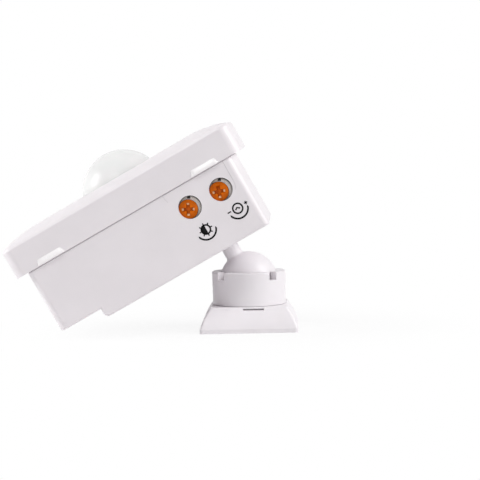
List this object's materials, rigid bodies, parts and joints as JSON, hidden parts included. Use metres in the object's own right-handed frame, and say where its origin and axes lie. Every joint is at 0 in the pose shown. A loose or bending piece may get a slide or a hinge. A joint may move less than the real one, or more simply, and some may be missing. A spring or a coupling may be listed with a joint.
{
  "type": "motion sensor switch",
  "caption": "Rectangular passive infrared motion sensor switch with dome lens and two trimmers, on a ball joint with clamp collar and square base.",
  "frame": {"origin": "centre of the base's bottom face, which lies on the wall or ceiling", "axes": "+Z out of the wall through the ball's centre; +X towards the end of the head that rises; -Y towards the side with the two trimmers"},
  "size_m": [0.0849, 0.0512, 0.0618],
  "materials": {
    "housing_plastic": "semi-matt white moulded ABS",
    "seat_plastic": "natural acetal",
    "lens_plastic": "translucent white polyethylene",
    "grommet_rubber": "soft black rubber",
    "trimmer_case": "grey moulded plastic",
    "trimmer_orange": "orange moulded plastic",
    "board_green": "green solder mask on glass-fibre board",
    "screw_steel": "zinc-plated steel",
    "can_metal": "nickel-plated can",
    "filter_pane": "dark coated silicon pane",
    "cell_brown": "resin-coated cell",
    "relay_case": "blue moulded case",
    "film_case": "yellow moulded case",
    "sleeve_black": "black moulded resin and sleeve",
    "terminal_green": "green polyamide"
  },
  "bodies": {
    "base": {"base_plate": "housing_plastic", "base_skirt": "housing_plastic"},
    "collar": {"clamp_collar": "housing_plastic"},
    "seat": {"ball_seat": "seat_plastic"},
    "stem": {"ball_stem": "housing_plastic"},
    "head": {"rear_housing": "housing_plastic", "front_cover": "housing_plastic", "dome_lens": "lens_plastic", "cable_grommet": "grommet_rubber", "light_trimmer_body": "trimmer_case", "time_trimmer_body": "trimmer_case", "lens_retainer": "housing_plastic", "circuit_board": "board_green", "board_screws": "screw_steel", "infrared_sensor": "can_metal", "sensor_pane": "filter_pane", "light_sensor": "cell_brown", "relay": "relay_case", "film_capacitor": "film_case", "smoothing_capacitor": "sleeve_black", "control_chip": "sleeve_black", "rectifier_diodes": "sleeve_black", "terminal_block": "terminal_green", "terminal_screws": "screw_steel"},
    "light_rotor": {"light_trimmer_rotor": "trimmer_orange"},
    "time_rotor": {"time_trimmer_rotor": "trimmer_orange"}
  },
  "joints": [
    {"name": "collar_turn", "type": "hinge", "parent": "base", "child": "collar", "pos_m": [0, 0, 0.0075], "axis": [0, 0, 1], "range_deg": [0, 180]},
    {"name": "ball_yaw", "type": "hinge", "parent": "base", "child": "seat", "pos_m": [0, 0, 0.0145], "axis": [0, 0, 1], "range_deg": [-180, 180]},
    {"name": "ball_tilt", "type": "hinge", "parent": "seat", "child": "stem", "pos_m": [0, 0, 0.0145], "axis": [0, 1, 0], "range_deg": [-1, 73]},
    {"name": "head_spin", "type": "hinge", "parent": "stem", "child": "head", "pos_m": [0, 0, 0.0145], "axis": [-0.4818, 0, 0.8763], "range_deg": [-180, 180]},
    {"name": "light_trimmer_turn", "type": "hinge", "parent": "head", "child": "light_rotor", "pos_m": [-0.01646, -0.02255, 0.03717], "axis": [0, 1, 0], "range_deg": [-130, 130]},
    {"name": "time_trimmer_turn", "type": "hinge", "parent": "head", "child": "time_rotor", "pos_m": [-0.00752, -0.02255, 0.04209], "axis": [0, 1, 0], "range_deg": [-130, 130]}
  ]
}
